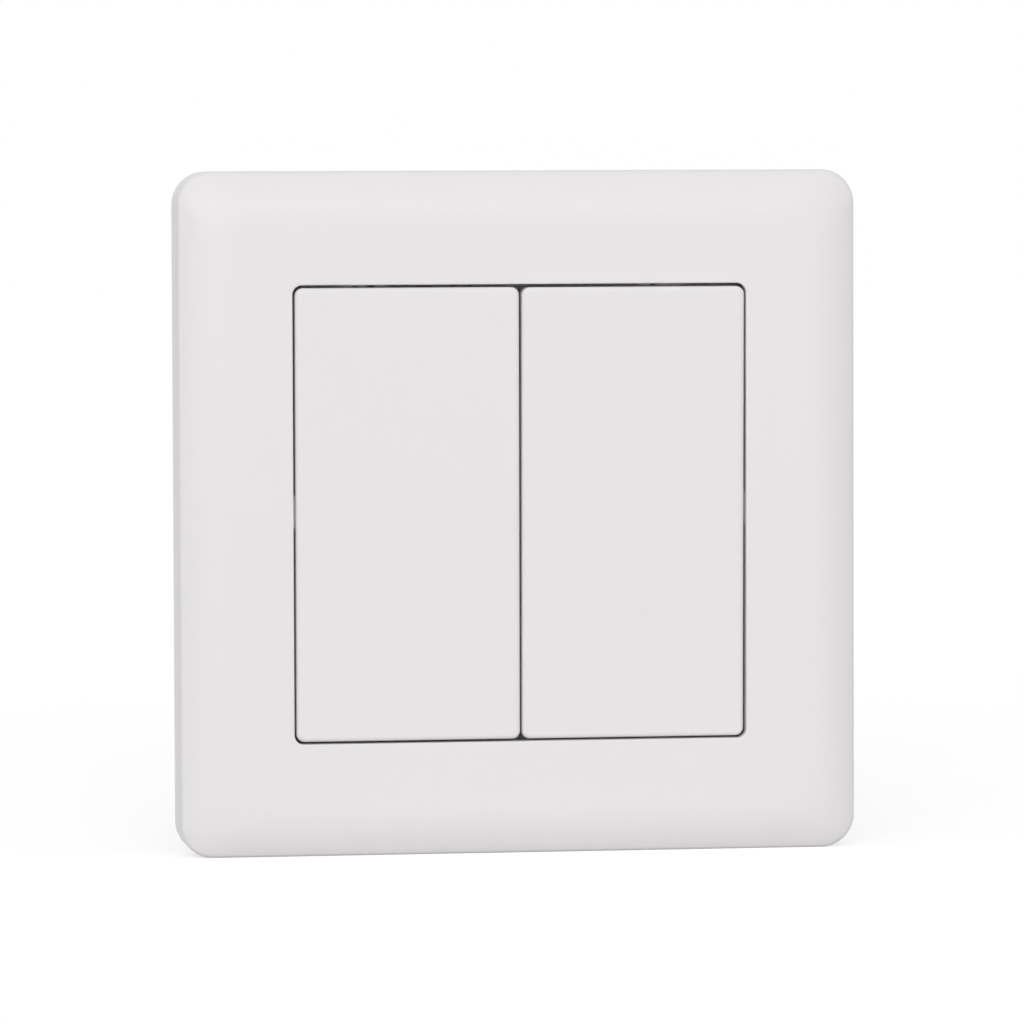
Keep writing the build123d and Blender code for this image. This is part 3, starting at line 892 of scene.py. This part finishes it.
class PieceTree(NodeSheet):
    """A Geometry Nodes tree with named inputs, which makes one kind of piece."""

    def __init__(self, name: str, inputs: dict[str, tuple[str, Any]]) -> None:
        """Start the tree.

        Args:
            name: The tree's name.
            inputs: The kind and first value of each input, by name.
        """
        super().__init__(bpy.data.node_groups.new(name, "GeometryNodeTree"))
        self.tree.interface.new_socket("Geometry", in_out="OUTPUT", socket_type="NodeSocketGeometry")
        self.identifiers: dict[str, str] = {}
        for label, (kind, start) in {**inputs, "Material": ("Material", None)}.items():
            socket = self.tree.interface.new_socket(label, in_out="INPUT", socket_type=f"NodeSocket{kind}")
            if start is not None:
                socket.default_value = start
            self.identifiers[label] = socket.identifier
        self.entry = self.node("NodeGroupInput")

    def values(self, *names: str) -> list[Term]:
        """Named inputs as Terms."""
        return [Term(self, self.entry.outputs[name]) for name in names]

    def value(self, name: str) -> Term:
        """One named input as a Term."""
        return self.values(name)[0]

    def vector(self, x: Any = 0.0, y: Any = 0.0, z: Any = 0.0) -> Term:
        """A vector put together from three values."""
        return self.result("ShaderNodeCombineXYZ", {0: x, 1: y, 2: z})

    def coordinates(self) -> list[Term]:
        """The three coordinates of each point."""
        point = self.node("ShaderNodeSeparateXYZ", {0: self.result("GeometryNodeInputPosition")})
        return [Term(self, output) for output in point.outputs]

    def join(self, *parts: Term) -> Term:
        """Join several geometries.

        Args:
            *parts: The geometries.

        Returns:
            The joined geometry.
        """
        joined = self.node("GeometryNodeJoinGeometry")
        for part in parts:
            self.tree.links.new(part.value, joined.inputs[0])
        return Term(self, joined.outputs[0])

    def moved(self, part: Term, shift: Any = (0.0, 0.0, 0.0), turn: Any = (0.0, 0.0, 0.0)) -> Term:
        """Turn a geometry and then shift it."""
        inputs = {"Geometry": part, "Translation": shift, "Rotation": turn}
        return self.result("GeometryNodeTransform", inputs)

    def close(self, part: Term) -> None:
        """End the tree in real geometry with its material.

        Args:
            part: All that the tree has made.
        """
        real = self.result("GeometryNodeRealizeInstances", {"Geometry": part})
        painted = {"Geometry": real, "Material": self.value("Material")}
        self.node("NodeGroupOutput", {"Geometry": self.result("GeometryNodeSetMaterial", painted)})

    def make(
        self, name: str, finish: Finish, values: dict[str, Any], crisp: float = SMOOTH_CRISP
    ) -> bpy.types.Object:
        """Run the tree and keep its result as a plain mesh.

        Args:
            name: The piece's name.
            finish: Its finish.
            values: The inputs' values, by name.
            crisp: The angle in degrees past which an edge stays sharp.

        Returns:
            The finished piece, without a modifier.
        """
        host = add_object(name, bpy.data.meshes.new(name))
        maker = host.modifiers.new("maker", "NODES")
        maker.node_group = self.tree
        for label, value in {**values, "Material": finish.material()}.items():
            maker[self.identifiers[label]] = value
        run_modifiers(host)
        host.data.materials.clear()
        host.data.materials.append(finish.material())
        host.data.shade_smooth()
        host.data.set_sharp_from_angle(angle=math.radians(crisp))
        return host


class CoilSprings(PieceTree):
    """Makes a compression spring with closed end coils, wound along the wall's depth."""

    def __init__(self) -> None:
        """Build the tree."""
        super().__init__(
            "coil_spring",
            {
                "Coil Radius": ("Float", 2.0 * MM),
                "Wire Radius": ("Float", 0.25 * MM),
                "Length": ("Float", 6.0 * MM),
                "Turns": ("Float", 4.0),
                "Closed Turns": ("Float", 0.5),
                "Steps": ("Int", 140),
                "Sides": ("Int", 12),
                "Start": ("Vector", (0.0, 0.0, 0.0)),
            },
        )
        radius, wire, length = self.values("Coil Radius", "Wire Radius", "Length")
        turns, closed, steps, sides = self.values("Turns", "Closed Turns", "Steps", "Sides")
        line = self.result("GeometryNodeCurvePrimitiveLine", {"End": (1.0, 0.0, 0.0)})
        fine = self.result("GeometryNodeResampleCurve", {"Curve": line, "Count": steps}, mode="COUNT")
        along = self.result("GeometryNodeSplineParameter", output="Factor")
        turn = along * turns * math.tau
        share = closed / turns
        rise = wire * 2.0 * closed
        middle = length - wire * 2.0 - rise * 2.0
        height = (
            wire
            + rise * (along / share).clamped()
            + middle * ((along - share) / (1.0 - share * 2.0)).clamped()
            + rise * ((along - 1.0 + share) / share).clamped()
        )
        coil = self.vector(radius * turn.cosine(), height, radius * turn.sine())
        wound = self.result("GeometryNodeSetPosition", {"Geometry": fine, "Position": coil})
        ring = self.result("GeometryNodeCurvePrimitiveCircle", {"Resolution": sides, "Radius": wire})
        drawn = {"Curve": wound, "Profile Curve": ring, "Fill Caps": True}
        self.close(self.moved(self.result("GeometryNodeCurveToMesh", drawn), self.value("Start")))

    def wind(self, node: str, body: str, wire: float, turns: float) -> bpy.types.Object:
        """Wind a spring into the space of a CAD node.

        Args:
            node: The CAD spring.
            body: The body it rides on.
            wire: The wire's radius.
            turns: How often it goes round.

        Returns:
            The finished spring.
        """
        low, high, middle = node_box(node)
        values = {
            "Coil Radius": (high.x - low.x) / 2 - wire,
            "Wire Radius": wire,
            "Length": high.y - low.y,
            "Turns": turns,
            "Start": (middle.x, low.y, middle.z),
        }
        piece = self.make(f"{node}_wound", SPRING, values)
        settle(piece, body, SPRING, node)
        return piece


class Row(PieceTree):
    """A tree whose shape stands in pairs, each pair repeated on a grid over the plate."""

    PLACES: dict[str, tuple[str, Any]] = {
        "Pair Step": ("Float", 0.0),
        "Columns": ("Int", 1),
        "Rows": ("Int", 1),
        "Column Step": ("Float", 0.0),
        "Row Step": ("Float", 0.0),
        "Middle": ("Vector", (0.0, 0.0, 0.0)),
        "Turn Spread": ("Float", 0.0),
        "Seed": ("Int", SEED),
    }

    def spread(self, shape: Term) -> None:
        """Set the shape out on its places and close the tree.

        Args:
            shape: One shape, standing on the origin with its axis along Y.
        """
        pair, columns, rows = self.values("Pair Step", "Columns", "Rows")
        across, up, spread = self.values("Column Step", "Row Step", "Turn Spread")
        first = self._line(2, self.vector(x=-pair / 2.0), self.vector(x=pair))
        wide = self._line(columns, self.vector(x=-(columns - 1.0) * across / 2.0), self.vector(x=across))
        tall = self._line(rows, self.vector(z=-(rows - 1.0) * up / 2.0), self.vector(z=up))
        places = self._set_on(self._set_on(tall, wide), first)
        merged = self.result("GeometryNodeMergeByDistance", {"Geometry": places, "Distance": SAME_PLACE})
        limits = {DICE_MIN: -spread, DICE_MAX: spread, "Seed": self.value("Seed")}
        turn = self.result("FunctionNodeRandomValue", limits, DICE_FLOAT, data_type="FLOAT")
        copies = self.result(
            "GeometryNodeInstanceOnPoints",
            {"Points": merged, "Instance": shape, "Rotation": self.vector(y=turn)},
        )
        self.close(self.moved(copies, self.value("Middle")))

    def _line(self, count: Any, start: Term, step: Term) -> Term:
        """A row of points."""
        return self.result("GeometryNodeMeshLine", {"Count": count, "Start Location": start, "Offset": step})

    def _set_on(self, points: Term, shape: Term) -> Term:
        """Copies of a shape on points, made real."""
        copies = self.result("GeometryNodeInstanceOnPoints", {"Points": points, "Instance": shape})
        return self.result("GeometryNodeRealizeInstances", {"Geometry": copies})


class ContactTips(Row):
    """Makes round contact tips with a low dome."""

    def __init__(self) -> None:
        """Build the tree."""
        super().__init__(
            "contact_tips",
            {
                "Radius": ("Float", 1.4 * MM),
                "Height": ("Float", 0.6 * MM),
                "Dome": ("Float", 0.22 * MM),
                "Facing": ("Float", 1.0),
                "Sides": ("Int", 40),
                "Rings": ("Int", 7),
                **self.PLACES,
            },
        )
        radius, height, sides, rings = self.values("Radius", "Height", "Sides", "Rings")
        steps = {"Vertices": sides, "Side Segments": 1, "Fill Segments": rings}
        sizes = {"Radius": radius, "Depth": height}
        disc = self.node("GeometryNodeMeshCylinder", {**steps, **sizes}, fill_type="TRIANGLE_FAN")
        blank, top = (Term(self, disc.outputs[name]) for name in ("Mesh", "Top"))
        x, y, _ = self.coordinates()
        fall = (x * x + y * y) / (radius * radius) * self.value("Dome")
        domed = self.result(
            "GeometryNodeSetPosition", {"Geometry": blank, "Selection": top, "Offset": self.vector(z=-fall)}
        )
        turn = self.value("Facing") * (-math.pi / 2)
        self.spread(self.moved(domed, turn=self.vector(x=turn)))

    def rivet(self, node: str, body: str, facing: float, pairs: int = 1) -> None:
        """Make the tips of a CAD node.

        Args:
            node: The CAD tips.
            body: The body they ride on.
            facing: 1 where the domes look into the wall, and -1 where they look out of it.
            pairs: How many pairs lie side by side.
        """
        low, high, middle = node_box(node)
        radius = (high.z - low.z) / 2
        values = {
            "Pair Step": 2 * TIP_REACH,
            "Columns": pairs,
            "Column Step": high.x - low.x - 2 * radius - 2 * TIP_REACH,
            "Radius": radius,
            "Height": high.y - low.y,
            "Facing": facing,
            "Middle": tuple(middle),
        }
        settle(self.make(f"{node}_domed", SILVER, values), body, SILVER, node)


class Drive(Enum):
    """How a screw is turned."""

    CROSS = "cross"
    SLOT = "slot"


class Screws(Row):
    """Makes threaded screws with a cross recess and countersunk head, or headless with a slot."""

    def __init__(self, drive: Drive) -> None:
        """Build the tree.

        Args:
            drive: How the screw is turned.
        """
        super().__init__(
            f"{drive.value}_screws",
            {
                "Head Radius": ("Float", 2.7 * MM),
                "Head Sides": ("Int", 48),
                "Shank Radius": ("Float", 1.35 * MM),
                "Shank Sides": ("Int", 36),
                "Shank Steps": ("Int", 96),
                "Length": ("Float", 8.0 * MM),
                "Pitch": ("Float", 0.6 * MM),
                "Thread Depth": ("Float", 0.18 * MM),
                "Thread Slope": ("Float", 1.5),
                "Thread Crest": ("Float", 0.3),
                "Recess Length": ("Float", 2.8 * MM),
                "Recess Width": ("Float", 0.6 * MM),
                "Recess Depth": ("Float", 0.8 * MM),
                **self.PLACES,
            },
        )
        length, shank = self.values("Length", "Shank Radius")
        body = self._thread(shank, length)
        facing = math.pi / 2
        if drive is Drive.CROSS:
            head_r, sides = self.values("Head Radius", "Head Sides")
            depth = head_r - shank
            head = self.result(
                "GeometryNodeMeshCone",
                {"Vertices": sides, "Radius Top": head_r, "Radius Bottom": shank, "Depth": depth},
                output="Mesh",
            )
            head_top = self.moved(head, self.vector(z=length / 2.0 - depth))
            body = self.join(body, self._cut(head_top, length, (0.0, math.pi / 2)))
        else:
            body = self._cut(body, length, (0.0,))
            facing = -facing
        self.spread(self.moved(body, turn=(facing, 0.0, 0.0)))

    def _thread(self, radius: Term, length: Term) -> Term:
        """A shank with a thread cut into it.

        Args:
            radius: The thread's outer radius.
            length: The shank's length.

        Returns:
            The shank, standing along Z about the origin.
        """
        sides, steps, pitch = self.values("Shank Sides", "Shank Steps", "Pitch")
        slope, crest = self.values("Thread Slope", "Thread Crest")
        rod = self.result(
            "GeometryNodeMeshCylinder",
            {"Vertices": sides, "Side Segments": steps, "Radius": radius, "Depth": length},
            output="Mesh",
            fill_type="NGON",
        )
        x, y, z = self.coordinates()
        phase = (z / pitch - y.angle_with(x) / math.tau).fraction()
        groove = ((phase * 2.0 - 1.0).size() * slope - crest).clamped()
        ends = ((length / 2.0 - z.size()) / pitch).clamped()
        narrow = 1.0 - groove * ends * self.value("Thread Depth") / radius
        place = self.vector(x * narrow, y * narrow, z)
        return self.result("GeometryNodeSetPosition", {"Geometry": rod, "Position": place})

    def _cut(self, body: Term, length: Term, turns: tuple[float, ...]) -> Term:
        """Cut one slot or more into the upper end.

        Args:
            body: The geometry to cut.
            length: The screw's length.
            turns: The slots' angles.

        Returns:
            The cut geometry.
        """
        long, wide, deep = self.values("Recess Length", "Recess Width", "Recess Depth")
        size = self.vector(long, wide, deep * 2.0)
        blade = self.result("GeometryNodeMeshCube", {"Size": size}, output="Mesh")
        for turn in turns:
            placed = self.moved(blade, self.vector(z=length / 2.0), (0.0, 0.0, turn))
            body = self.result(
                "GeometryNodeMeshBoolean",
                {"Mesh 1": body, "Mesh 2": placed},
                operation="DIFFERENCE",
                solver="EXACT",
            )
        return body

    def drive_in(self, node: str, values: dict[str, Any]) -> None:
        """Make the screws of a CAD node, each stopped at its own angle.

        Args:
            node: The CAD screws.
            values: The inputs' values but for length, middle and turn, by name.
        """
        low, high, middle = node_box(node)
        own = {"Length": high.y - low.y, "Middle": tuple(middle), "Turn Spread": math.pi}
        piece = self.make(f"{node}_threaded", ZINC, {**values, **own}, crisp=THREAD_CRISP)
        settle(piece, WALL, ZINC, node)


@dataclass
class Gang:
    """One side of the push: key, rocker, plunger, contact bridge, terminals, tips and springs."""

    side: str
    springs: CoilSprings
    tips: ContactTips
    contact_wire: float = 0.2 * MM
    contact_turns: float = 3.0
    return_wire: float = 0.25 * MM
    return_turns: float = 3.5

    def build(self) -> None:
        """Build every piece of this side."""
        Key(self.side, REST_TILT[self.side]).build()
        dress_node(f"{self.side}_rocker", f"{self.side}_key_body", CARRIER, MOULDED_EDGE)
        body = f"{self.side}_plunger_body"
        dress_node(f"{self.side}_plunger", body, PLUNGER, MOULDED_EDGE)
        dress_node(f"{self.side}_bridge", body, BRASS, STAMPED_EDGE)
        for use in ("feed", "bell"):
            dress_node(f"{self.side}_{use}_terminal", WALL, BRASS, STAMPED_EDGE)
        self.tips.rivet(f"{self.side}_bridge_tips", body, facing=1.0)
        self.springs.wind(f"{self.side}_contact_spring", body, self.contact_wire, self.contact_turns)
        self._build_return_spring()

    def _build_return_spring(self) -> None:
        """Wind the return spring, look up the plunger's travel, and give the spring a mesh of its own."""
        node = f"{self.side}_return_spring"
        piece = self.springs.wind(node, WALL, self.return_wire, self.return_turns)
        low, high, _ = node_box(node)
        slide = f"{self.side}_plunger_slide"
        travel = slide_travel(slide)
        length = high.y - low.y
        (length - travel) / length
        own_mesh(piece)


@dataclass
class ContactUnit:
    """The carrier with its fixing slots, the switch body behind it, its cover, tips and screws."""

    tips: ContactTips
    body_pitch: float = 0.62 * MM
    clamp_pitch: float = 0.5 * MM
    body_screw_r: float = 1.35 * MM
    clamp_screw_r: float = 1.5 * MM
    slot_length: float = 3.2 * MM
    slot_width: float = 0.5 * MM

    def build(self) -> None:
        """Build every piece that stays on the wall behind the face frame."""
        for node, finish in (("mounting_frame", CARRIER), ("switch_body", BODY), ("body_cover", CARRIER)):
            dress_node(node, WALL, finish, MOULDED_EDGE)
        self.tips.rivet("fixed_tips", WALL, facing=-1.0, pairs=2)
        self._build_body_screws()
        self._build_clamp_screws()

    def _build_body_screws(self) -> None:
        """Drive the four countersunk screws that hold the body to the carrier."""
        low, high, _ = node_box("body_screws")
        head = self.body_screw_r * 2
        values = {
            "Columns": 2,
            "Rows": 2,
            "Column Step": high.x - low.x - 2 * head,
            "Row Step": high.z - low.z - 2 * head,
            "Head Radius": head,
            "Shank Radius": self.body_screw_r,
            "Pitch": self.body_pitch,
        }
        Screws(Drive.CROSS).drive_in("body_screws", values)

    def _build_clamp_screws(self) -> None:
        """Drive the four headless screws that clamp the bell wires."""
        low, high, _ = node_box("terminal_screws")
        values = {
            "Pair Step": 2 * TIP_REACH,
            "Columns": 2,
            "Column Step": high.x - low.x - 2 * self.clamp_screw_r - 2 * TIP_REACH,
            "Shank Radius": self.clamp_screw_r,
            "Pitch": self.clamp_pitch,
            "Recess Length": self.slot_length,
            "Recess Width": self.slot_width,
        }
        Screws(Drive.SLOT).drive_in("terminal_screws", values)


@dataclass(frozen=True)
class Sun:
    """A distant lamp: its strength, how many degrees it spreads over and where it stands."""

    name: str
    strength: float
    spread: float
    stands: tuple[float, float, float]


@dataclass
class Studio:
    """White ground, soft light and the camera at the photograph's angle, with angles in degrees."""

    ground_size: float = 6.0
    ground_white: float = 0.66
    ground_glow: float = 0.595
    room_light: float = 0.505
    front_sun: Sun = Sun("front_sun", 1.85, 55.0, (-0.15, -0.93, 0.14))
    corner_sun: Sun = Sun("corner_sun", 0.07, 5.0, (-0.69, -0.48, 0.54))
    lens_px: float = 6704.0
    picture_px: float = 1024.0
    sensor_width: float = 36.0
    nearest: float = 0.05
    farthest: float = 20.0
    distance: float = 0.851
    yaw: float = 8.44
    pitch: float = 2.92
    roll: float = -0.205
    aim_x: float = 0.17 * MM
    aim_z: float = -0.31 * MM

    def build(self) -> None:
        """Make the ground, the light and the camera."""
        self._ground()
        self._room()
        for sun in (self.front_sun, self.corner_sun):
            self._lamp(sun)
        self._camera()

    def _seen(self, sheet: NodeSheet) -> Term:
        """Tell what the camera sees from what only lights the piece.

        Args:
            sheet: The material's nodes.

        Returns:
            One where it looks straight, through a mirror or through glass, and nought elsewhere.
        """
        path = sheet.node("ShaderNodeLightPath")
        rays = ("Is Camera Ray", "Is Glossy Ray", "Is Transmission Ray")
        straight, mirrored, through = (Term(sheet, path.outputs[ray]) for ray in rays)
        return (straight + mirrored + through).clamped()

    def _ground(self) -> None:
        """A white floor that keeps the shadow and shows as white to the camera."""
        level = Vector(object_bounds()[0]).z
        half = self.ground_size / 2
        data = bpy.data.meshes.new("ground")
        corners = [(-half, -half, level), (half, -half, level), (half, half, level), (-half, half, level)]
        data.from_pydata(corners, [], [(0, 1, 2, 3)])
        ground = add_object("ground", data)
        paint = bpy.data.materials.new("ground_white")
        paint.use_nodes = True
        sheet = NodeSheet(paint.node_tree)
        white = (self.ground_white, self.ground_white, self.ground_white, 1.0)
        matt = sheet.result("ShaderNodeBsdfDiffuse", {"Color": white})
        strength = self._seen(sheet) * self.ground_glow
        glow = sheet.result("ShaderNodeEmission", {"Color": WHITE, "Strength": strength})
        both = sheet.result("ShaderNodeAddShader", {0: matt, 1: glow})
        sheet.node("ShaderNodeOutputMaterial", {0: both})
        data.materials.append(paint)
        ground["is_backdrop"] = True

    def _room(self) -> None:
        """An even pale room, which the camera sees as white."""
        world = bpy.data.worlds.new("room")
        world.use_nodes = True
        bpy.context.scene.world = world
        sheet = NodeSheet(world.node_tree)
        seen = self._seen(sheet)
        strength = seen + (1.0 - seen) * self.room_light
        even = sheet.result("ShaderNodeBackground", {"Color": WHITE, "Strength": strength})
        sheet.node("ShaderNodeOutputWorld", {0: even})

    def _lamp(self, sun: Sun) -> None:
        """Hang one lamp: the front one shades the crown, and the corner one gives the glint.

        Args:
            sun: The lamp.
        """
        data = bpy.data.lights.new(sun.name, "SUN")
        data.energy = sun.strength
        data.angle = math.radians(sun.spread)
        lamp = add_object(sun.name, data)
        lamp.rotation_euler = (-Vector(sun.stands)).to_track_quat("-Z", "Y").to_euler()

    def _camera(self) -> None:
        """Put the camera where the photograph was taken from."""
        yaw, pitch, roll = (math.radians(a) for a in (self.yaw, self.pitch, self.roll))
        ahead = Vector((math.sin(yaw) * math.cos(pitch), math.cos(yaw) * math.cos(pitch), -math.sin(pitch)))
        across = Vector((math.cos(yaw), -math.sin(yaw), 0.0))
        upward = across.cross(ahead)
        right = math.cos(roll) * across + math.sin(roll) * upward
        above = -math.sin(roll) * across + math.cos(roll) * upward
        place = -ahead * self.distance + right * self.aim_x + above * self.aim_z
        data = bpy.data.cameras.new("camera")
        data.sensor_width = self.sensor_width
        data.lens = self.lens_px / self.picture_px * data.sensor_width
        data.clip_start = self.nearest
        data.clip_end = self.farthest
        camera = add_object("camera", data)
        turn = Matrix((right, above, -ahead)).transposed()
        camera.matrix_world = Matrix.Translation(place) @ turn.to_4x4()
        bpy.context.scene.camera = camera


def main() -> None:
    """Build every piece, then the studio round it."""
    logging.basicConfig(level=logging.INFO, format="%(name)s: %(message)s")
    scene = bpy.context.scene
    scene.view_settings.view_transform = "Standard"
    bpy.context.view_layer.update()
    springs, tips = CoilSprings(), ContactTips()
    FaceFrame().build()
    for side in REST_TILT:
        Gang(side, springs, tips).build()
    ContactUnit(tips).build()
    Studio().build()


if __name__ == "__main__":
    main()
